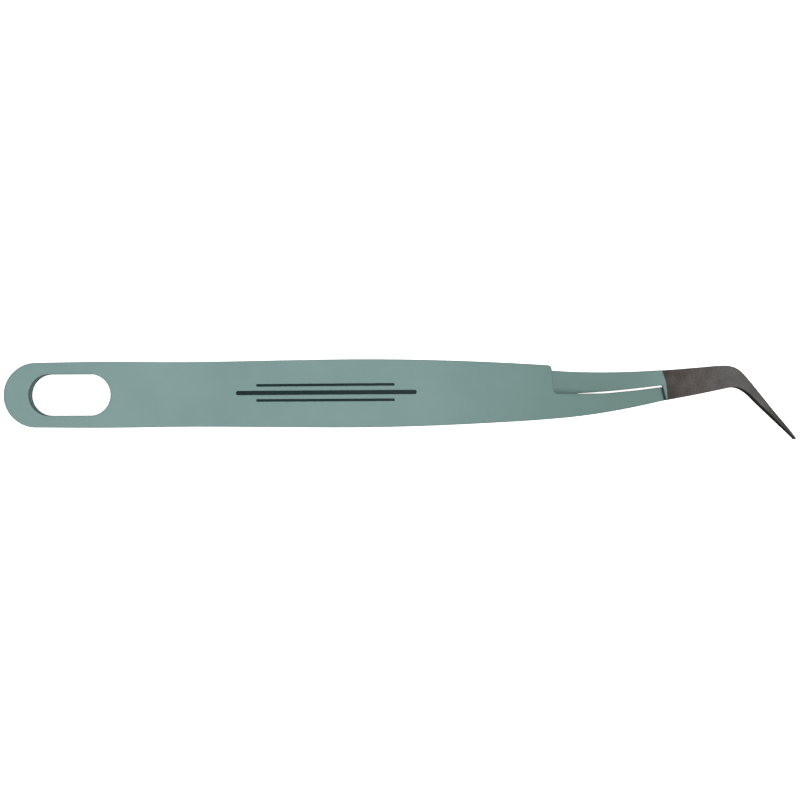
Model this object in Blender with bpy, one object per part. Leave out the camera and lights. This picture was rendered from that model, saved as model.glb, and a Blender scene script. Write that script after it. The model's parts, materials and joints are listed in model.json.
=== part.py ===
"""Self-closing precision tweezers: two crossing spring arms, welded together along the tail.

Layout frame, in millimetres: x runs from the tail's end towards the point, y is measured from the
tail's axis, and z is up from the plane between the two arms. The finished object is moved so that
its origin lies at the bottom centre of its bounding box.

The upper arm is on top at the tail and passes below the lower arm at the crossing, so squeezing the
two bows together opens the points. Each arm is one strip, split into three nodes: the tail, up to
the place where the arm flexes, the painted blade, and the bare tip.
"""
import math

import bmesh
import bpy
import numpy as np
from mathutils import Vector

MM = 0.001

# Strip and side profile
STRIP = 1.25               # thickness of both arms
POINT_STRIP = 1.04         # thickness that the tip tapers to
NOSE_LENGTH = 5.3          # the outer faces round off to the point over this length
NOSE_SHARE = 0.52          # share of the thickness that is left at the very end
WELD_GAP = 0.05            # clearance modelled between the two welded tails
POINT_GAP = 0.06           # clearance modelled between the two closed points
WELD_END = 34.0            # where the arms start to part
BOW_X = 84.0               # the highest place of the bow
BOW_HEIGHT = 7.15          # height of the strip's middle there
CROSSING_X = 133.2         # where the two arms pass each other
CROSSING_SLOPE = -0.231
LEVEL_X = 141.5            # where the arm is level again, past the crossing
LEVEL_HEIGHT = -1.0
POINT_SLOPE = 0.02         # how steeply the arms still close at the point
FLEX_X = 52.0              # the arm turns about this place when it is squeezed
FLEX_GAP = 0.1
PAINT_END = 138.3          # the paint stops here and the bare steel tip starts
PAINT_GAP = 0.05
PROFILE_STEP = 3.0         # spacing of the profile's stations along the bow
CROSSING_STEP = 1.0        # and along the tighter curve past the crossing
SLOPE_STEP = 0.01          # half the length over which the profile's slope is measured

# Plan outline
TAIL_RADIUS = 6.75
HOLE_CENTRE_X = 13.73
HOLE_LENGTH = 17.05
HOLE_WIDTH = 8.63
TIP_CENTRE = (164.85, -9.82)
TIP_RADIUS = 0.29
POINT_END = TIP_CENTRE[0] + TIP_RADIUS
POINT_ARC = (-3.1, 0.34)   # angles where the near and the far edge meet the round point
UPPER_SHOULDER = (113.43, 5.54)   # the far edge steps in here, towards the crossing
LOWER_SHOULDER = (113.9, 5.52)
UPPER_CORNER = 0.75        # rounding of the two shoulders
LOWER_CORNER = 0.4
SHOULDER_FILLET = 0.4      # and of the foot of the lower one
UPPER_NOTCH_FILLET = 0.9   # inner corners of the two half-width notches
LOWER_NOTCH_FILLET = 0.35
UPPER_NOTCH_X = 114.0      # the upper arm gives up its far half from here
LOWER_NOTCH_X = 119.9      # and the lower arm its near half from here
EDGE_STEP = 2.5            # spacing of the outline's points on the long edges
BEND_STEP = 0.6            # and around the bend of the tip
BEND_START = 148.0
ARC_POINTS = 28            # on each half turn of the tail and the hole
TIP_ARC_POINTS = 14
CORNER_POINTS = 7

# Edges as (x, y) places that the outline passes smoothly through
GRIP_EDGE = ((6.75, 6.74), (18.0, 6.87), (39.0, 6.73), (60.0, 6.86), (75.0, 6.88), (88.0, 6.65),
             (100.0, 6.22), (113.9, 5.52))
FAR_EDGE = ((114.1, 4.73), (119.0, 4.38), (124.7, 4.2), (131.0, 4.24), (137.0, 4.5), (144.8, 5.06),
            (149.2, 5.4), (150.6, 5.4), (151.9, 5.12), (153.25, 4.38), (155.3, 2.17), (157.4, -0.42),
            (160.9, -4.74), (164.1, -8.43), (165.12, -9.72))
NEAR_EDGE = ((6.75, -6.74), (18.0, -6.87), (39.0, -6.75), (60.0, -6.87), (75.0, -6.9),
             (88.0, -6.65), (100.0, -6.18), (110.0, -5.68), (120.0, -4.86), (126.0, -4.05),
             (132.0, -3.0), (138.0, -1.78), (144.8, -0.51), (149.4, 0.42), (151.2, 0.78),
             (152.5, 0.79), (153.6, 0.48), (154.7, -0.2), (157.5, -2.9), (161.9, -7.18), (164.56, -9.83))
UPPER_SLIT_EDGE = ((115.2, -0.27), (121.0, -0.3), (126.0, -0.2), (128.4, 0.02), (132.6, 0.39),
                   (137.5, 0.98))
LOWER_SLIT_EDGE = ((119.9, -0.22), (124.7, 0.08), (130.7, 0.62), (136.8, 1.33))
UPPER_NOTCH_END = ((138.0, 1.1), (138.9, 4.6))   # the upper arm's far half comes back here
LOWER_NOTCH_END = ((137.15, 1.36), (137.93, -1.8))  # the lower arm's near half comes back here

PAINT_COLOUR = (0.208, 0.326, 0.312, 1.0)
PAINT_ROUGHNESS = 0.45
STEEL_COLOUR = (0.122, 0.112, 0.107, 1.0)
STEEL_ROUGHNESS = 0.4
CUTTER_REACH = 24.0        # half width of every cutter, well past the strip
PAST_THE_END = 5.0         # how far a side profile runs beyond the strip's two ends
SMOOTH_ANGLE = math.radians(30)
MERGE_DISTANCE = 1e-6      # in metres: joins a filled curve's loose caps to its sides


def clear_scene():
    for obj in list(bpy.data.objects):
        bpy.data.objects.remove(obj, do_unlink=True)


def new_collection(name):
    collection = bpy.data.collections.new(name)
    bpy.context.scene.collection.children.link(collection)
    return collection


def with_slopes(places):
    """Adds to each (x, y) the slope between its neighbours, so that a smooth curve fits them."""
    x, y = np.array(places).T
    slopes = np.gradient(y, x)
    return tuple(zip(x, y, slopes))


def curve_value(stations, x):
    """The cubic curve through (x, value, slope) stations, read at x."""
    for (x0, y0, m0), (x1, y1, m1) in zip(stations, stations[1:]):
        if x <= x1 or (x1, y1, m1) == stations[-1]:
            break
    span = x1 - x0
    t = min(max((x - x0) / span, 0.0), 1.0)
    return ((2 * t**3 - 3 * t**2 + 1) * y0 + (t**3 - 2 * t**2 + t) * span * m0
            + (3 * t**2 - 2 * t**3) * y1 + (t**3 - t**2) * span * m1)


REST_HEIGHT = (STRIP + WELD_GAP) / 2
SIDE_STATIONS = (
    (0.0, REST_HEIGHT, 0.0),
    (WELD_END, REST_HEIGHT, 0.0),
    (BOW_X, BOW_HEIGHT, 0.0),
    (CROSSING_X, 0.0, CROSSING_SLOPE),
    (LEVEL_X, LEVEL_HEIGHT, 0.0),
    (POINT_END, -(POINT_STRIP + POINT_GAP) / 2, POINT_SLOPE),
)


def strip_height(x):
    """Height of the upper arm's middle at rest; the lower arm's is its mirror image."""
    return curve_value(SIDE_STATIONS, x)


def strip_half_thickness(x):
    taper = (x - LEVEL_X) / (TIP_CENTRE[0] - LEVEL_X)
    return (STRIP + (POINT_STRIP - STRIP) * min(max(taper, 0.0), 1.0)) / 2


def nose_share(x):
    """Share of the thickness that is left where the outer face rounds off to the point."""
    reach = min(max((POINT_END - x) / NOSE_LENGTH, 0.0), 1.0)
    return NOSE_SHARE + (1.0 - NOSE_SHARE) * math.sin(reach * math.pi / 2)


def along(start, end, step):
    return np.linspace(start, end, max(2, int(math.ceil(abs(end - start) / step)) + 1))


def edge_run(places, start, end, step):
    """Points of an outline edge from x = start to x = end, in that order."""
    stations = with_slopes(places)
    return [(x, curve_value(stations, x)) for x in along(start, end, step)]


def arc(centre, radius, start_angle, end_angle, count=ARC_POINTS):
    return [(centre[0] + radius * math.cos(a), centre[1] + radius * math.sin(a))
            for a in np.linspace(start_angle, end_angle, count)]


def rounded_corner(before, corner, after, radius):
    """A round corner, set back by radius along both of its straight edges."""
    corner = Vector(corner)
    start = corner + (Vector(before) - corner).normalized() * radius
    end = corner + (Vector(after) - corner).normalized() * radius
    return [tuple(start.lerp(corner, t).lerp(corner.lerp(end, t), t))
            for t in np.linspace(0.0, 1.0, CORNER_POINTS)]


def tail_and_grip(end):
    """The grip's far edge from x = end back to the tail, and round the tail's end."""
    grip = edge_run(GRIP_EDGE, end, TAIL_RADIUS, EDGE_STEP)
    return grip[1:-1] + arc((TAIL_RADIUS, 0.0), TAIL_RADIUS, math.pi / 2, 3 * math.pi / 2)


def point_and_bend():
    """The near edge from x = LEVEL_X to the point, round it, and back round the far edge's bend."""
    near_x, far_x = (TIP_CENTRE[0] + TIP_RADIUS * math.cos(angle) for angle in POINT_ARC)
    return (edge_run(NEAR_EDGE, LEVEL_X, BEND_START, EDGE_STEP)
            + edge_run(NEAR_EDGE, BEND_START, near_x, BEND_STEP)[1:-1]
            + arc(TIP_CENTRE, TIP_RADIUS, *POINT_ARC, TIP_ARC_POINTS)
            + edge_run(FAR_EDGE, far_x, BEND_START, BEND_STEP)[1:])


def upper_outline():
    """The upper arm keeps its near half through the crossing."""
    near = edge_run(NEAR_EDGE, TAIL_RADIUS, LEVEL_X, EDGE_STEP)[1:-1]
    far = edge_run(FAR_EDGE, BEND_START, UPPER_NOTCH_END[1][0], EDGE_STEP)[1:-1]
    slit = edge_run(UPPER_SLIT_EDGE, UPPER_NOTCH_END[0][0] - UPPER_NOTCH_FILLET,
                    UPPER_NOTCH_X + UPPER_NOTCH_FILLET, EDGE_STEP / 2)
    notch_start = (UPPER_NOTCH_X, slit[-1][1])
    return (tail_and_grip(UPPER_SHOULDER[0] - UPPER_CORNER) + near + point_and_bend() + far
            + [UPPER_NOTCH_END[1]]
            + rounded_corner(UPPER_NOTCH_END[1], UPPER_NOTCH_END[0], slit[0], UPPER_NOTCH_FILLET)
            + slit[1:-1]
            + rounded_corner(slit[-1], notch_start, UPPER_SHOULDER, UPPER_NOTCH_FILLET)
            + rounded_corner(notch_start, UPPER_SHOULDER, GRIP_EDGE[-2], UPPER_CORNER))


def lower_outline():
    """The lower arm keeps its far half through the crossing."""
    near = edge_run(NEAR_EDGE, TAIL_RADIUS, LOWER_NOTCH_X, EDGE_STEP)[1:]
    slit = edge_run(LOWER_SLIT_EDGE, LOWER_NOTCH_X, LOWER_NOTCH_END[0][0] - LOWER_NOTCH_FILLET,
                    EDGE_STEP / 2)
    back = edge_run(NEAR_EDGE, LOWER_NOTCH_END[1][0], LEVEL_X, EDGE_STEP)[1:-1]
    foot = FAR_EDGE[0]
    far = edge_run(FAR_EDGE, BEND_START, foot[0] + SHOULDER_FILLET, EDGE_STEP)[1:-1]
    return (tail_and_grip(LOWER_SHOULDER[0] - LOWER_CORNER) + near + slit[:-1]
            + rounded_corner(slit[-1], LOWER_NOTCH_END[0], LOWER_NOTCH_END[1], LOWER_NOTCH_FILLET)
            + [LOWER_NOTCH_END[1]] + back + point_and_bend() + far
            + rounded_corner(far[-1], foot, LOWER_SHOULDER, SHOULDER_FILLET)
            + rounded_corner(foot, LOWER_SHOULDER, GRIP_EDGE[-2], LOWER_CORNER))


def hole_outline():
    """The long hanging hole through both tails."""
    radius = HOLE_WIDTH / 2
    reach = HOLE_LENGTH / 2 - radius
    right = arc((HOLE_CENTRE_X + reach, 0.0), radius, -math.pi / 2, math.pi / 2)
    left = arc((HOLE_CENTRE_X - reach, 0.0), radius, math.pi / 2, 3 * math.pi / 2)
    return right + left


def side_stations(start, end):
    """Stations along the strip, closer together past the crossing."""
    middle = min(max(CROSSING_X, start), end)
    return np.unique(np.concatenate([along(start, middle, PROFILE_STEP),
                                     along(middle, end, CROSSING_STEP)]))


def ribbon_outline(start, end, side):
    """The strip's side profile from x = start to x = end, as (x, z) points round its thickness.

    At the point the two first faces close on each other, and the second ones are rounded off.
    """
    first, second = [], []
    for x in side_stations(start, end):
        slope = (strip_height(x + SLOPE_STEP) - strip_height(x - SLOPE_STEP)) / (2 * SLOPE_STEP)
        up = Vector((-slope, 1.0)).normalized() * strip_half_thickness(x)
        down = up * (1.0 - 2.0 * nose_share(x))
        height = strip_height(x)
        first.append((x + up.x, side * (height + up.y)))
        second.append((x + down.x, side * (height + down.y)))
    return first + second[::-1]


def plate(name, outlines, half_depth, rotation, collection):
    """A closed solid: flat outlines filled and extruded both ways, made into a welded mesh."""
    curve = bpy.data.curves.new(name, "CURVE")
    curve.dimensions = "2D"
    curve.fill_mode = "BOTH"
    curve.extrude = half_depth * MM
    curve.render_resolution_u = 0
    for outline in outlines:
        spline = curve.splines.new("POLY")
        spline.points.add(len(outline) - 1)
        for point, (x, y) in zip(spline.points, outline):
            point.co = (x * MM, y * MM, 0.0, 1.0)
        spline.use_cyclic_u = True
    flat = bpy.data.objects.new(name + "_outline", curve)
    flat.rotation_euler = rotation
    collection.objects.link(flat)
    bpy.context.view_layer.update()
    evaluated = flat.evaluated_get(bpy.context.evaluated_depsgraph_get())
    mesh = bpy.data.meshes.new_from_object(evaluated)
    mesh.name = name
    welded = bmesh.new()
    welded.from_mesh(mesh)
    bmesh.ops.remove_doubles(welded, verts=welded.verts, dist=MERGE_DISTANCE)
    bmesh.ops.recalc_face_normals(welded, faces=welded.faces)
    welded.to_mesh(mesh)
    welded.free()
    solid = bpy.data.objects.new(name, mesh)
    solid.matrix_world = flat.matrix_world.copy()
    collection.objects.link(solid)
    bpy.data.objects.remove(flat, do_unlink=True)
    return solid


def finish(name, colour, roughness, metallic):
    material = bpy.data.materials.new(name)
    material.use_nodes = True
    shader = material.node_tree.nodes["Principled BSDF"]
    shader.inputs["Base Color"].default_value = colour
    shader.inputs["Roughness"].default_value = roughness
    shader.inputs["Metallic"].default_value = metallic
    return material


def paint(name):
    return finish(name + "_paint", PAINT_COLOUR, PAINT_ROUGHNESS, metallic=0.0)


def bare_steel(name):
    return finish(name + "_steel", STEEL_COLOUR, STEEL_ROUGHNESS, metallic=1.0)


def strip_piece(name, outlines, zone, side, material, parts, cutters):
    """One node of an arm: its plan outline, cut to the side profile between zone's two ends."""
    piece = plate(name, outlines, CUTTER_REACH, (0.0, 0.0, 0.0), parts)
    ribbon = plate(name + "_profile", [ribbon_outline(*zone, side)], CUTTER_REACH,
                   (math.pi / 2, 0.0, 0.0), cutters)
    ribbon.hide_render = True
    ribbon.display_type = "WIRE"
    cut = piece.modifiers.new("side profile", "BOOLEAN")
    cut.operation = "INTERSECT"
    cut.solver = "EXACT"
    cut.object = ribbon
    piece.data.materials.append(material(name))
    piece.data.shade_smooth()
    piece.data.set_sharp_from_angle(angle=SMOOTH_ANGLE)
    return piece, ribbon


def flex_pivot(name, side, datum, parts):
    """An empty on the line that the arm turns about, across the strip at its mid thickness."""
    pivot = bpy.data.objects.new(name, None)
    pivot.location = Vector((FLEX_X, 0.0, side * strip_height(FLEX_X))) * MM - datum
    pivot.rotation_euler = (math.pi / 2, 0.0, 0.0)
    parts.objects.link(pivot)
    return pivot


def place(obj, datum, parent=None):
    """Moves a layout-frame object to the datum, under its pivot if it has one."""
    bpy.context.view_layer.update()
    world = obj.matrix_world.copy()
    world.translation -= datum
    obj.parent = parent
    obj.matrix_world = world


def build_arm(label, side, outline, datum, parts, cutters):
    tail_zone = (-PAST_THE_END, FLEX_X - FLEX_GAP / 2)
    blade_zone = (FLEX_X + FLEX_GAP / 2, PAINT_END - PAINT_GAP / 2)
    tip_zone = (PAINT_END + PAINT_GAP / 2, TIP_CENTRE[0] + PAST_THE_END)
    pivot = flex_pivot(label + "_flex_pivot", side, datum, parts)
    bpy.context.view_layer.update()
    for node, outlines, zone, material, parent in (
            ("tail", [outline, hole_outline()], tail_zone, paint, None),
            ("blade", [outline], blade_zone, paint, pivot),
            ("tip", [outline], tip_zone, bare_steel, pivot)):
        for obj in strip_piece(f"{label}_{node}", outlines, zone, side, material, parts, cutters):
            place(obj, datum, parent)


def bottom_centre(outline):
    """The object's origin: the bottom centre of its box, in metres in the layout frame."""
    low, high = np.min(outline, axis=0), np.max(outline, axis=0)
    middle = (low + high) / 2
    return Vector((middle[0], middle[1], -(BOW_HEIGHT + STRIP / 2))) * MM


def build():
    clear_scene()
    parts = new_collection("precision_tweezers")
    cutters = new_collection("cutters")
    datum = bottom_centre(upper_outline())
    build_arm("upper_arm", 1, upper_outline(), datum, parts, cutters)
    build_arm("lower_arm", -1, lower_outline(), datum, parts, cutters)
    bpy.context.view_layer.update()


build()
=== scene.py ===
"""Looks of the self-closing precision tweezers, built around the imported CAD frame.

Each arm is modelled flat, as a stamped strip with rounded edges, and is then bent along its side
profile, as the real one is. Layout coordinates are in millimetres: x from the tail's end towards the
point, y from the tail's axis, z from the plane between the arms.
"""
import json
import math

import bmesh
import bpy
import numpy as np
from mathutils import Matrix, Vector


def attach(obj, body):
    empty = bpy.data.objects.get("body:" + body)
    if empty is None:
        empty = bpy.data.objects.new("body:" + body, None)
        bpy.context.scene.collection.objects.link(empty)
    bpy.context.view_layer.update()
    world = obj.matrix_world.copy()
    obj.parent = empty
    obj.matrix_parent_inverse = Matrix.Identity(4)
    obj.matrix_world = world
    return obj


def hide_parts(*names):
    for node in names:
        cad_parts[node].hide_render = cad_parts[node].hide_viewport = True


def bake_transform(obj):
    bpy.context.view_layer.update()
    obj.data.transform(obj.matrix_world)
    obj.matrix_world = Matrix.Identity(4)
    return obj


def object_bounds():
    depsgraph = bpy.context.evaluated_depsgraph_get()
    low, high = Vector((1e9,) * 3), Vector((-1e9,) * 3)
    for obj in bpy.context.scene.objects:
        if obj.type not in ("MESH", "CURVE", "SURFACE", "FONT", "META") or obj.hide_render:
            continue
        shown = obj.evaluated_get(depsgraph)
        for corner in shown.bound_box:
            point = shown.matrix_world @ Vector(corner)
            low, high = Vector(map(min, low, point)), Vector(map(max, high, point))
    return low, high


MM = 0.001
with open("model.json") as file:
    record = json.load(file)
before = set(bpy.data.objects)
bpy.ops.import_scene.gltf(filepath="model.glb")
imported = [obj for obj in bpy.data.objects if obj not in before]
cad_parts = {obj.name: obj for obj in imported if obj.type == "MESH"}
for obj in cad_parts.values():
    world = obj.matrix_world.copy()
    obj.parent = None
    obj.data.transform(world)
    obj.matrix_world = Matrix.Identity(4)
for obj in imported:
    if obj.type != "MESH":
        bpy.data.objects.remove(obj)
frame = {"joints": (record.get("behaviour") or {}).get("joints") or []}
CAD_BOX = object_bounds()
FLEX_JOINT = next(joint for joint in frame["joints"] if joint["child"] == "upper_arm")
LAYOUT_ORIGIN = Vector((CAD_BOX[0][0], FLEX_JOINT["pos_m"][1], (CAD_BOX[0][2] + CAD_BOX[1][2]) / 2))
SIDES = {"upper_arm": 1, "lower_arm": -1}

# Strip and side profile
STRIP = 1.25
POINT_STRIP = 1.04                      # the strip is thinned to this at the point
NOSE_LENGTH, NOSE_SHARE = 5.3, 0.52     # how the outer faces round off to the point
WELD_GAP = 0.05
POINT_GAP = 0.06
WELD_END = 34.0
BOW_X, BOW_HEIGHT = 84.0, 7.15
CROSSING_X, CROSSING_SLOPE = 133.2, -0.231
LEVEL_X, LEVEL_HEIGHT = 141.5, -1.0
POINT_SLOPE = 0.02
SLOPE_REACH = 0.05         # the profile's slope is read over this distance to either side
BEND_PITCH = 1.0           # spacing of the cuts that let a flat strip bend
CUT_TOLERANCE, MERGE_DISTANCE = 1e-5, 1e-4

# Plan outline
TAIL_RADIUS = 6.75
HOLE_CENTRE_X, HOLE_LENGTH, HOLE_WIDTH = 13.73, 17.05, 8.63
TIP_CENTRE, TIP_RADIUS = (164.85, -9.82), 0.29
POINT_END = TIP_CENTRE[0] + TIP_RADIUS
POINT_ARC = (-3.1, 0.34)
UPPER_SHOULDER, LOWER_SHOULDER = (113.43, 5.54), (113.9, 5.52)
UPPER_CORNER, LOWER_CORNER, SHOULDER_FILLET = 0.75, 0.4, 0.4
UPPER_NOTCH_FILLET, LOWER_NOTCH_FILLET = 0.9, 0.35
UPPER_NOTCH_X, LOWER_NOTCH_X = 114.0, 119.9
EDGE_STEP = 1.25           # spacing of an outline's points
BEND_START, BEND_STEP = 148.0, 0.4      # the tip bends beyond here, where the points are closer
ARC_POINTS, CORNER_POINTS = 56, 9
PUNCHED_CORNER = 0.4       # rounding of the stamped outline's other corners
CORNER_SHARE = 0.45        # most of a neighbouring edge that a rounded corner may take
SHARP_TURN = math.radians(30)

GRIP_EDGE = ((6.75, 6.74), (18.0, 6.87), (39.0, 6.73), (60.0, 6.86), (75.0, 6.88), (88.0, 6.65),
             (100.0, 6.22), (113.9, 5.52))
FAR_EDGE = ((114.1, 4.73), (119.0, 4.38), (124.7, 4.2), (131.0, 4.24), (137.0, 4.5), (144.8, 5.06),
            (149.2, 5.4), (150.6, 5.4), (151.9, 5.12), (153.25, 4.38), (155.3, 2.17), (157.4, -0.42),
            (160.9, -4.74), (164.1, -8.43), (165.12, -9.72))
NEAR_EDGE = ((6.75, -6.74), (18.0, -6.87), (39.0, -6.75), (60.0, -6.87), (75.0, -6.9),
             (88.0, -6.65), (100.0, -6.18), (110.0, -5.68), (120.0, -4.86), (126.0, -4.05),
             (132.0, -3.0), (138.0, -1.78), (144.8, -0.51), (149.4, 0.42), (151.2, 0.78),
             (152.5, 0.79), (153.6, 0.48), (154.7, -0.2), (157.5, -2.9), (161.9, -7.18), (164.56, -9.83))
UPPER_SLIT_EDGE = ((115.2, -0.27), (121.0, -0.3), (126.0, -0.2), (128.4, 0.02), (132.6, 0.39),
                   (137.5, 0.98), (138.6, 1.1))
LOWER_SLIT_EDGE = ((119.9, -0.22), (124.7, 0.08), (130.7, 0.62), (136.8, 1.33))
UPPER_NOTCH_FOOT, UPPER_NOTCH_TOP_X = (138.35, 1.2), 138.9
LOWER_NOTCH_END = ((137.15, 1.36), (137.93, -1.8))

# The paint stops along a slightly bowed line, given as (y, x) places from the near to the far edge
PAINT_END = 138.1          # near the middle of the strip's width
PAINT_LINE = ((-3.0, 138.25), (-1.6, 138.24), (0.9, PAINT_END), (2.5, 137.85), (3.4, 137.55),
              (5.5, 136.75))
PAINT_LINE_STEP = 0.4
EDGE_SEARCH_ROUNDS = 12    # enough to settle where the line meets an outline edge
PAINT_OVERLAP = 0.28       # how far the bare tip's solid runs in under the paint
PAINT_EDGE_ROUND = 0.2
PAINT_FILM = 0.035         # the paint stands this much proud of the steel
STEEL_EDGE_ROUND = 0.12

# Printed pinstripes on the upper bow: (y, first x, last x, width), with round ends
PINSTRIPES = ((1.75, 53.0, 81.5, 0.55), (0.2, 48.7, 85.9, 0.9), (-1.35, 53.0, 81.5, 0.55))
INK_THICKNESS, INK_EDGE_ROUND, INK_SUNK = 0.03, 0.008, 0.01

# Tones, as linear colours. Each pair is spread by a noise that mostly stays within NOISE_RANGE.
NOISE_RANGE = (0.3, 0.7)
BLASTING_RANGE = (0.35, 0.65)
PAINT_TONES = ((0.196, 0.308, 0.295), (0.214, 0.334, 0.322))
INK_TONES = ((0.010, 0.021, 0.024), (0.016, 0.031, 0.035))
SPECKLE_SHADES = ((0.96, 0.96, 0.96), (1.0, 1.0, 1.0))
CLOUD_SHADES = ((0.90, 0.89, 0.89), (1.0, 1.0, 1.0))
BLASTING_SHADES = ((0.70, 0.70, 0.69), (1.0, 1.0, 1.0))

# Painted shade: the paint is darkened between these two places, by these shades at these shares of the
# way, standing in for the light that falls off towards the crossing
PAINTED_SHADE_FROM, PAINTED_SHADE_TO = 66.0, 126.0
PAINTED_SHADE_STOPS = ((0.0, (1.0, 1.0, 1.0)), (0.48, (0.69, 0.775, 0.75)), (1.0, (0.655, 0.70, 0.66)))

# The bare steel's tones, from the paint's edge (0) to the point (1): its brown cast fades out
STEEL_TONES = ((0.0, (0.075, 0.066, 0.062)), (0.19, (0.113, 0.100, 0.095)),
               (0.48, (0.137, 0.134, 0.130)), (0.68, (0.136, 0.133, 0.129)),
               (0.86, (0.099, 0.097, 0.093)))

# Studio, in metres, watts and radians
SOFTBOX_PLACE, SOFTBOX_SIZE = (0.12, 0.0, 0.8), (0.3, 0.32)
SOFTBOX_POWER, SOFTBOX_SPREAD = 1.52, math.radians(95)
FLOOR_WIDTH, FLOOR_DROP, FLOOR_GLOW = 6.0, 0.0002, 0.85
ROOM_LIGHT = ((0.0, (0.22, 0.22, 0.22)), (0.5, (0.10, 0.10, 0.10)), (1.0, (0.30, 0.30, 0.30)))

# Camera, in layout millimetres
VIEW_DISTANCE = 210.0      # height above the plane between the arms
VIEW_WIDTH = 167.36        # width that the picture spans at that plane
VIEW_CENTRE = (82.51, -1.41)
VIEW_ROLL = math.radians(-0.31)
SENSOR_WIDTH = 36.0


def with_slopes(places):
    """Adds to each (x, y) the slope there, taken from its neighbours, for a smooth curve."""
    x, y = np.array(places).T
    return tuple(zip(x, y, np.gradient(y, x)))


def curve_value(stations, x):
    """The cubic curve through (x, value, slope) stations, read at x and level beyond its ends."""
    for (x0, y0, m0), (x1, y1, m1) in zip(stations, stations[1:]):
        if x <= x1:
            break
    span = x1 - x0
    t = min(max((x - x0) / span, 0.0), 1.0)
    return ((2 * t**3 - 3 * t**2 + 1) * y0 + (t**3 - 2 * t**2 + t) * span * m0
            + (3 * t**2 - 2 * t**3) * y1 + (t**3 - t**2) * span * m1)


SIDE_STATIONS = (
    (0.0, (STRIP + WELD_GAP) / 2, 0.0),
    (WELD_END, (STRIP + WELD_GAP) / 2, 0.0),
    (BOW_X, BOW_HEIGHT, 0.0),
    (CROSSING_X, 0.0, CROSSING_SLOPE),
    (LEVEL_X, LEVEL_HEIGHT, 0.0),
    (POINT_END, -(POINT_STRIP + POINT_GAP) / 2, POINT_SLOPE),
)


def layout_point(x, y=0.0, z=0.0):
    """A place in the frame, in metres, from layout millimetres."""
    return LAYOUT_ORIGIN + Vector((x, y, z)) * MM


def strip_height(x):
    """The middle of the upper strip at x, above the plane between the arms."""
    return curve_value(SIDE_STATIONS, x)


def strip_taper(x):
    """The strip's thickness at x, as a share of its full thickness."""
    share = min(max((x - LEVEL_X) / (TIP_CENTRE[0] - LEVEL_X), 0.0), 1.0)
    return 1.0 + (POINT_STRIP / STRIP - 1.0) * share


def nose_share(x):
    """Share of the thickness that is left where the outer face rounds off to the point."""
    reach = min(max((POINT_END - x) / NOSE_LENGTH, 0.0), 1.0)
    return NOSE_SHARE + (1.0 - NOSE_SHARE) * math.sin(reach * math.pi / 2)


def along(start, end, step):
    """Evenly spaced values from start to end, no further apart than step."""
    return np.linspace(start, end, max(2, int(math.ceil(abs(end - start) / step)) + 1))


def edge_run(places, start, end, step=EDGE_STEP):
    """Points of an outline edge from x = start to x = end, in that order."""
    stations = with_slopes(places)
    return [(x, curve_value(stations, x)) for x in along(start, end, step)]


def arc(centre, radius, start_angle, end_angle, count=ARC_POINTS):
    return [(centre[0] + radius * math.cos(a), centre[1] + radius * math.sin(a))
            for a in np.linspace(start_angle, end_angle, count)]


def rounded_corner(before, corner, after, radius):
    """A round corner, set back by radius along both of its straight edges."""
    corner = Vector(corner)
    start = corner + (Vector(before) - corner).normalized() * radius
    end = corner + (Vector(after) - corner).normalized() * radius
    return [tuple(start.lerp(corner, t).lerp(corner.lerp(end, t), t))
            for t in np.linspace(0.0, 1.0, CORNER_POINTS)]


def soften(outline, radius=PUNCHED_CORNER):
    """Rounds every corner that turns sharply, as punching and tumbling do."""
    softened = []
    for index, corner in enumerate(outline):
        before, after = outline[index - 1], outline[(index + 1) % len(outline)]
        arriving = Vector(corner) - Vector(before)
        leaving = Vector(after) - Vector(corner)
        if arriving.angle(leaving) > SHARP_TURN:
            reach = min(radius, arriving.length * CORNER_SHARE, leaving.length * CORNER_SHARE)
            softened += rounded_corner(before, corner, after, reach)
        else:
            softened.append(corner)
    return softened


def tail_and_grip(end):
    """The grip's far edge from x = end back to the tail, and round the tail's end."""
    grip = edge_run(GRIP_EDGE, end, TAIL_RADIUS)
    return grip[1:-1] + arc((TAIL_RADIUS, 0.0), TAIL_RADIUS, math.pi / 2, 3 * math.pi / 2)


def point_and_bend():
    """The near edge from x = LEVEL_X to the point, round it, and back round the far edge's bend."""
    near_x, far_x = (TIP_CENTRE[0] + TIP_RADIUS * math.cos(angle) for angle in POINT_ARC)
    return (edge_run(NEAR_EDGE, LEVEL_X, BEND_START)
            + edge_run(NEAR_EDGE, BEND_START, near_x, BEND_STEP)[1:-1]
            + arc(TIP_CENTRE, TIP_RADIUS, *POINT_ARC, ARC_POINTS // 3)
            + edge_run(FAR_EDGE, far_x, BEND_START, BEND_STEP)[1:])


def hole_outline():
    radius = HOLE_WIDTH / 2
    reach = HOLE_LENGTH / 2 - radius
    right = arc((HOLE_CENTRE_X + reach, 0.0), radius, -math.pi / 2, math.pi / 2)
    left = arc((HOLE_CENTRE_X - reach, 0.0), radius, math.pi / 2, 3 * math.pi / 2)
    return right + left


def paint_line(low_y, high_y):
    """Points on the paint's edge from y = low_y to y = high_y."""
    stations = with_slopes(PAINT_LINE)
    return [(curve_value(stations, y), y) for y in along(low_y, high_y, PAINT_LINE_STEP)]


def paint_end_on(edge):
    """Where the paint's edge meets an outline edge."""
    line, stations = with_slopes(PAINT_LINE), with_slopes(edge)
    x = PAINT_END
    for _ in range(EDGE_SEARCH_ROUNDS):
        x = curve_value(line, curve_value(stations, x))
    return x, curve_value(stations, x)


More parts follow.
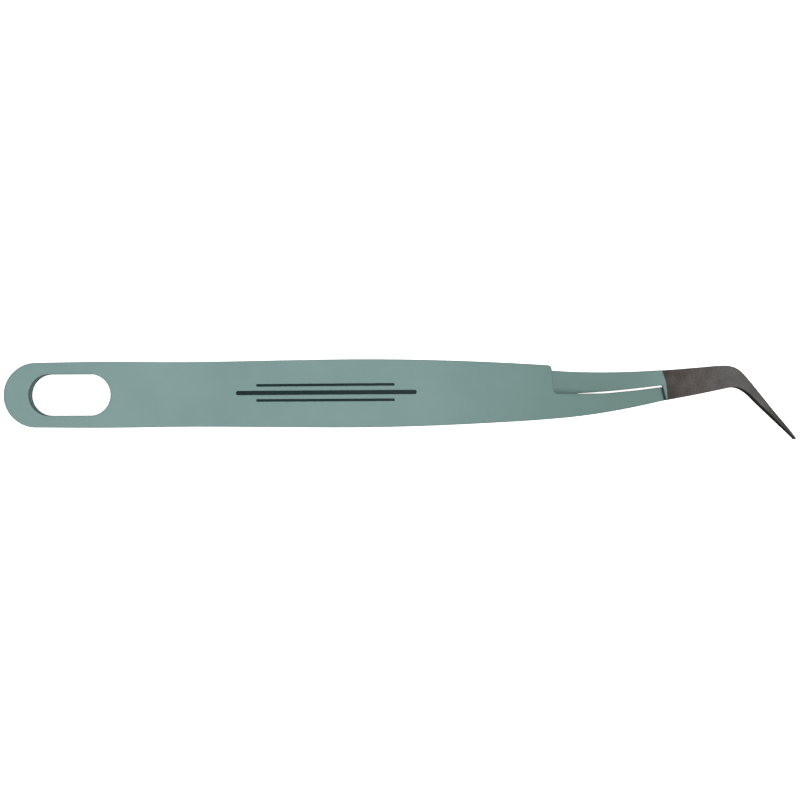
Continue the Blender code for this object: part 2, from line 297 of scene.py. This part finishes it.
def painted_upper():
    """The upper arm keeps its near half through the crossing."""
    near_end, slit_end = paint_end_on(NEAR_EDGE), paint_end_on(UPPER_SLIT_EDGE)
    slit = edge_run(UPPER_SLIT_EDGE, slit_end[0], UPPER_NOTCH_X + UPPER_NOTCH_FILLET)
    notch = (UPPER_NOTCH_X, slit[-1][1])
    return (tail_and_grip(UPPER_SHOULDER[0] - UPPER_CORNER)
            + edge_run(NEAR_EDGE, TAIL_RADIUS, near_end[0])[1:]
            + paint_line(near_end[1], slit_end[1])[1:-1] + slit[:-1]
            + rounded_corner(slit[-1], notch, UPPER_SHOULDER, UPPER_NOTCH_FILLET)
            + rounded_corner(notch, UPPER_SHOULDER, GRIP_EDGE[-2], UPPER_CORNER))


def painted_lower():
    """The lower arm keeps its far half through the crossing."""
    near_end, far_end = paint_end_on(NEAR_EDGE), paint_end_on(FAR_EDGE)
    slit = edge_run(LOWER_SLIT_EDGE, LOWER_NOTCH_X, LOWER_NOTCH_END[0][0] - LOWER_NOTCH_FILLET)
    foot = FAR_EDGE[0]
    far = edge_run(FAR_EDGE, far_end[0], foot[0] + SHOULDER_FILLET)
    return (tail_and_grip(LOWER_SHOULDER[0] - LOWER_CORNER)
            + edge_run(NEAR_EDGE, TAIL_RADIUS, LOWER_NOTCH_X)[1:] + slit[:-1]
            + rounded_corner(slit[-1], LOWER_NOTCH_END[0], LOWER_NOTCH_END[1], LOWER_NOTCH_FILLET)
            + [LOWER_NOTCH_END[1]]
            + paint_line(near_end[1], far_end[1]) + far[1:-1]
            + rounded_corner(far[-1], foot, LOWER_SHOULDER, SHOULDER_FILLET)
            + rounded_corner(foot, LOWER_SHOULDER, GRIP_EDGE[-2], LOWER_CORNER))


def bare_upper():
    """The upper arm's tip, whose far half comes back where the two arms have passed each other."""
    near_end, slit_end = paint_end_on(NEAR_EDGE), paint_end_on(UPPER_SLIT_EDGE)
    start = near_end[0] - PAINT_OVERLAP
    slit_start = (slit_end[0] - PAINT_OVERLAP, slit_end[1])
    return (edge_run(NEAR_EDGE, start, LEVEL_X)[:-1] + point_and_bend()
            + edge_run(FAR_EDGE, BEND_START, UPPER_NOTCH_TOP_X)[1:]
            + [UPPER_NOTCH_FOOT, slit_start])


def bare_lower():
    """The lower arm's tip, full width from the paint's edge on."""
    near_end, far_end = paint_end_on(NEAR_EDGE), paint_end_on(FAR_EDGE)
    return (edge_run(NEAR_EDGE, near_end[0] - PAINT_OVERLAP, LEVEL_X)[:-1] + point_and_bend()
            + edge_run(FAR_EDGE, BEND_START, far_end[0] - PAINT_OVERLAP)[1:])


def flat_plate(name, outlines, thickness, edge_round, inset=0.0):
    """A flat closed solid with rounded edges, in layout millimetres, as a mesh object.

    The first outline is its edge and a second one is a hole; inset makes it smaller all round.
    """
    curve = bpy.data.curves.new(name, "CURVE")
    curve.dimensions = "2D"
    curve.fill_mode = "BOTH"
    curve.extrude = thickness / 2 - edge_round
    curve.bevel_depth = edge_round
    curve.bevel_resolution = 3
    curve.offset = -edge_round - inset
    for outline in outlines:
        spline = curve.splines.new("POLY")
        spline.points.add(len(outline) - 1)
        for point, (x, y) in zip(spline.points, outline):
            point.co = (x, y, 0.0, 1.0)
        spline.use_cyclic_u = True
    shape = bpy.data.objects.new(name, curve)
    bpy.context.scene.collection.objects.link(shape)
    bpy.context.view_layer.update()
    graph = bpy.context.evaluated_depsgraph_get()
    mesh = bpy.data.meshes.new_from_object(shape.evaluated_get(graph))
    bpy.data.objects.remove(shape, do_unlink=True)
    mesh.name = name
    piece = bpy.data.objects.new(name, mesh)
    bpy.context.scene.collection.objects.link(piece)
    return piece


def bend_along_profile(piece, side, lift=0.0):
    """Cuts the flat plate across at close stations and bends it to an arm's side profile.

    side is 1 for the upper arm and -1 for the lower; lift moves the piece outwards.
    """
    flat = bmesh.new()
    flat.from_mesh(piece.data)
    bmesh.ops.remove_doubles(flat, verts=flat.verts, dist=MERGE_DISTANCE)
    low = min(v.co.x for v in flat.verts)
    high = max(v.co.x for v in flat.verts)
    for x in along(low, high, BEND_PITCH)[1:-1]:
        bmesh.ops.bisect_plane(flat, geom=flat.verts[:] + flat.edges[:] + flat.faces[:],
                               dist=CUT_TOLERANCE, plane_co=(x, 0.0, 0.0), plane_no=(1.0, 0.0, 0.0))
    bmesh.ops.triangulate(flat, faces=[f for f in flat.faces if len(f.verts) > 4])
    for vert in flat.verts:
        x, y, offset = vert.co
        rise = strip_height(x + SLOPE_REACH) - strip_height(x - SLOPE_REACH)
        angle = math.atan(rise / (2 * SLOPE_REACH))
        inner = strip_taper(x) * STRIP / 2
        offset = inner - (inner - offset * strip_taper(x)) * nose_share(x) + lift
        height = strip_height(x) + offset * math.cos(angle)
        vert.co = layout_point(x - offset * math.sin(angle), y, side * height)
    bmesh.ops.recalc_face_normals(flat, faces=flat.faces)
    flat.to_mesh(piece.data)
    flat.free()
    piece.data.shade_smooth()
    weighted = piece.modifiers.new("even faces", "WEIGHTED_NORMAL")
    weighted.keep_sharp = True
    weighted.weight = 100


def nodes_of(material):
    """A new material's node tree and its shader."""
    material.use_nodes = True
    tree = material.node_tree
    return tree, tree.nodes["Principled BSDF"]


def object_coordinates(tree, scale=(1.0, 1.0, 1.0)):
    """Places on the object in metres, stretched by scale."""
    coordinates = tree.nodes.new("ShaderNodeTexCoord")
    mapping = tree.nodes.new("ShaderNodeMapping")
    mapping.inputs["Scale"].default_value = scale
    tree.links.new(coordinates.outputs["Object"], mapping.inputs["Vector"])
    return mapping.outputs["Vector"]


def noise(tree, vector, scale, detail, roughness):
    texture = tree.nodes.new("ShaderNodeTexNoise")
    texture.inputs["Scale"].default_value = scale
    texture.inputs["Detail"].default_value = detail
    texture.inputs["Roughness"].default_value = roughness
    tree.links.new(vector, texture.inputs["Vector"])
    return texture.outputs["Fac"]


def ramp(tree, value, stops):
    """A colour ramp over a value, with (position, colour) stops."""
    node = tree.nodes.new("ShaderNodeValToRGB")
    elements = node.color_ramp.elements
    while len(elements) < len(stops):
        elements.new(0.5)                   # its real position is set below
    for element, (position, colour) in zip(elements, stops):
        element.position = position
        element.color = (*colour, 1.0)
    tree.links.new(value, node.inputs["Fac"])
    return node.outputs["Color"]


def spread(tree, value, colours, value_range=NOISE_RANGE):
    """Blends from the first colour to the second as a value crosses its range."""
    return ramp(tree, value, tuple(zip(value_range, colours)))


def remap(tree, value, low, high, value_range=NOISE_RANGE):
    """A number that goes from low to high as a value crosses its range."""
    node = tree.nodes.new("ShaderNodeMapRange")
    node.inputs["From Min"].default_value = value_range[0]
    node.inputs["From Max"].default_value = value_range[1]
    node.inputs["To Min"].default_value = low
    node.inputs["To Max"].default_value = high
    tree.links.new(value, node.inputs["Value"])
    return node.outputs["Result"]


def bump(tree, height, distance, strength, under=None):
    """A surface relief of the given depth in metres, on top of another one if there is one."""
    node = tree.nodes.new("ShaderNodeBump")
    node.inputs["Distance"].default_value = distance
    node.inputs["Strength"].default_value = strength
    tree.links.new(height, node.inputs["Height"])
    if under is not None:
        tree.links.new(under, node.inputs["Normal"])
    return node.outputs["Normal"]


def tinted(tree, colour, shade):
    """A colour multiplied by a shade."""
    node = tree.nodes.new("ShaderNodeMix")
    node.data_type = "RGBA"
    node.blend_type = "MULTIPLY"
    node.inputs["Factor"].default_value = 1.0
    tree.links.new(colour, node.inputs["A"])
    tree.links.new(shade, node.inputs["B"])
    return node.outputs["Result"]


def share_along(tree, place, start, end):
    """How far a place lies between two layout x values, from 0 to 1."""
    split = tree.nodes.new("ShaderNodeSeparateXYZ")
    tree.links.new(place, split.inputs["Vector"])
    ends = (layout_point(start).x, layout_point(end).x)
    return remap(tree, split.outputs["X"], 0.0, 1.0, ends)


def satin_paint():
    """Grey-green powder coat: a soft sheen, a fine orange peel and a slight drift of tone.

    It carries painted shade, darker from the bow to the crossing than on the grip, standing in for the
    light that falls off there.
    """
    material = bpy.data.materials.new("satin_green_grey_paint")
    tree, shader = nodes_of(material)
    place = object_coordinates(tree)
    drift = noise(tree, place, scale=90.0, detail=4.0, roughness=0.6)
    tone = spread(tree, drift, PAINT_TONES)
    peel = noise(tree, place, scale=1400.0, detail=2.0, roughness=0.4)
    grain = noise(tree, place, scale=5200.0, detail=2.0, roughness=0.5)
    speckle = spread(tree, grain, SPECKLE_SHADES)
    # painted shade: the paint's colour is darkened from the bow to the crossing in place of light
    # falling off
    painted_shade = ramp(tree, share_along(tree, place, PAINTED_SHADE_FROM, PAINTED_SHADE_TO), PAINTED_SHADE_STOPS)
    tree.links.new(tinted(tree, tinted(tree, tone, painted_shade), speckle), shader.inputs["Base Color"])
    tree.links.new(remap(tree, grain, low=0.50, high=0.60), shader.inputs["Roughness"])
    coarse = bump(tree, peel, distance=0.00006, strength=0.16)
    relief = bump(tree, grain, distance=0.00002, strength=0.12, under=coarse)
    tree.links.new(relief, shader.inputs["Normal"])
    shader.inputs["Specular IOR Level"].default_value = 0.35
    return material


def dark_steel():
    """Bead-blasted dark steel, browner and darker next to the paint, with fine lengthwise scratches."""
    material = bpy.data.materials.new("blasted_dark_steel")
    tree, shader = nodes_of(material)
    place = object_coordinates(tree)
    tone = ramp(tree, share_along(tree, place, PAINT_END, POINT_END), STEEL_TONES)
    clouds = noise(tree, place, scale=420.0, detail=4.0, roughness=0.6)
    blasting = noise(tree, place, scale=4200.0, detail=3.0, roughness=0.6)
    clouded = tinted(tree, tone, spread(tree, clouds, CLOUD_SHADES))
    blasted = tinted(tree, clouded, spread(tree, blasting, BLASTING_SHADES, BLASTING_RANGE))
    tree.links.new(blasted, shader.inputs["Base Color"])
    tree.links.new(remap(tree, clouds, low=0.62, high=0.74), shader.inputs["Roughness"])
    stretched = object_coordinates(tree, scale=(0.1, 1.0, 1.0))
    streaks = noise(tree, stretched, scale=7000.0, detail=3.0, roughness=0.6)
    scratched = bump(tree, streaks, distance=0.00002, strength=0.15)
    relief = bump(tree, blasting, distance=0.00003, strength=0.3, under=scratched)
    tree.links.new(relief, shader.inputs["Normal"])
    shader.inputs["Metallic"].default_value = 1.0
    return material


def printed_ink():
    """The dark blue-green ink of the pinstripes, a little uneven as screen printing is."""
    material = bpy.data.materials.new("dark_printed_ink")
    tree, shader = nodes_of(material)
    cover = noise(tree, object_coordinates(tree), scale=2600.0, detail=3.0, roughness=0.6)
    tree.links.new(spread(tree, cover, INK_TONES), shader.inputs["Base Color"])
    tree.links.new(remap(tree, cover, low=0.6, high=0.7), shader.inputs["Roughness"])
    relief = bump(tree, cover, distance=0.00001, strength=0.2)
    tree.links.new(relief, shader.inputs["Normal"])
    shader.inputs["Specular IOR Level"].default_value = 0.12
    return material


def build_arm(arm, painted, bare, paint, steel):
    """One arm: its painted strip, which bends from the weld on, and its bare tip."""
    side = SIDES[arm]
    strip = flat_plate(arm + "_painted_strip", [soften(painted), hole_outline()], STRIP,
                       PAINT_EDGE_ROUND)
    bend_along_profile(strip, side)
    strip.data.materials.append(paint)
    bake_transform(strip)
    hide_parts(arm + "_tail", arm + "_blade")
    tip = flat_plate(arm + "_bare_tip", [soften(bare)], STRIP - 2 * PAINT_FILM, STEEL_EDGE_ROUND,
                     inset=PAINT_FILM)
    bend_along_profile(tip, side)
    tip.data.materials.append(steel)
    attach(tip, arm)
    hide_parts(arm + "_tip")


def print_pinstripes(ink):
    """Three plain stripes on the upper bow, bending with the arm they are printed on."""
    for number, (y, first_x, last_x, width) in enumerate(PINSTRIPES, 1):
        radius = width / 2
        outline = (arc((last_x - radius, y), radius, -math.pi / 2, math.pi / 2, CORNER_POINTS)
                   + arc((first_x + radius, y), radius, math.pi / 2, 3 * math.pi / 2, CORNER_POINTS))
        stripe = flat_plate(f"pinstripe_{number}", [outline], INK_THICKNESS, INK_EDGE_ROUND)
        bend_along_profile(stripe, SIDES["upper_arm"],
                           lift=(STRIP + INK_THICKNESS) / 2 - INK_SUNK)
        stripe.data.materials.append(ink)
        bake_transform(stripe)


def plain_floor():
    """A white floor that takes soft shadows but throws no light back at the object."""
    bpy.ops.mesh.primitive_plane_add(size=FLOOR_WIDTH, location=(0.0, 0.0, -FLOOR_DROP))
    floor = bpy.context.object
    floor.name = "floor"
    floor.visible_diffuse = False
    floor.visible_glossy = False
    material = bpy.data.materials.new("pale_floor")
    shader = nodes_of(material)[1]
    shader.inputs["Base Color"].default_value = (0.9, 0.9, 0.9, 1.0)
    shader.inputs["Roughness"].default_value = 0.9
    shader.inputs["Emission Color"].default_value = (1.0, 1.0, 1.0, 1.0)
    shader.inputs["Emission Strength"].default_value = FLOOR_GLOW
    floor.data.materials.append(material)


def softbox():
    """One large soft light high over the object, aimed at its middle."""
    light = bpy.data.lights.new("top_softbox", "AREA")
    light.shape = "RECTANGLE"
    light.size, light.size_y = SOFTBOX_SIZE
    light.energy = SOFTBOX_POWER
    light.spread = SOFTBOX_SPREAD
    lamp = bpy.data.objects.new("top_softbox", light)
    lamp.location = SOFTBOX_PLACE
    lamp.rotation_euler = (-Vector(SOFTBOX_PLACE)).to_track_quat("-Z", "Y").to_euler()
    bpy.context.scene.collection.objects.link(lamp)


def studio_world():
    """Dim walls and a brighter floor and ceiling round the object, in front of a white backdrop."""
    world = bpy.data.worlds.new("studio")
    world.use_nodes = True
    tree = world.node_tree
    background = tree.nodes["Background"]
    direction = tree.nodes.new("ShaderNodeTexCoord")
    split = tree.nodes.new("ShaderNodeSeparateXYZ")
    tree.links.new(direction.outputs["Generated"], split.inputs["Vector"])
    height = remap(tree, split.outputs["Z"], 0.0, 1.0, (-1.0, 1.0))
    room = ramp(tree, height, ROOM_LIGHT)
    backdrop = tree.nodes.new("ShaderNodeMix")
    backdrop.data_type = "RGBA"
    backdrop.inputs["B"].default_value = (1.0, 1.0, 1.0, 1.0)
    path = tree.nodes.new("ShaderNodeLightPath")
    tree.links.new(path.outputs["Is Camera Ray"], backdrop.inputs["Factor"])
    tree.links.new(room, backdrop.inputs["A"])
    tree.links.new(backdrop.outputs["Result"], background.inputs["Color"])
    bpy.context.scene.world = world


def camera():
    """Straight above the broad faces, close enough that the nearer arm looks larger."""
    lens = bpy.data.cameras.new("camera")
    lens.sensor_width = SENSOR_WIDTH
    lens.lens = SENSOR_WIDTH * VIEW_DISTANCE / VIEW_WIDTH
    lens.clip_start = 0.01
    viewer = bpy.data.objects.new("camera", lens)
    viewer.location = layout_point(*VIEW_CENTRE, VIEW_DISTANCE)
    viewer.rotation_euler = (0.0, 0.0, VIEW_ROLL)
    bpy.context.scene.collection.objects.link(viewer)
    bpy.context.scene.camera = viewer


paint = satin_paint()
steel = dark_steel()
build_arm("upper_arm", painted_upper(), bare_upper(), paint, steel)
build_arm("lower_arm", painted_lower(), bare_lower(), paint, steel)
print_pinstripes(printed_ink())
plain_floor()
studio_world()
bpy.context.scene.view_settings.view_transform = "Standard"
softbox()
camera()
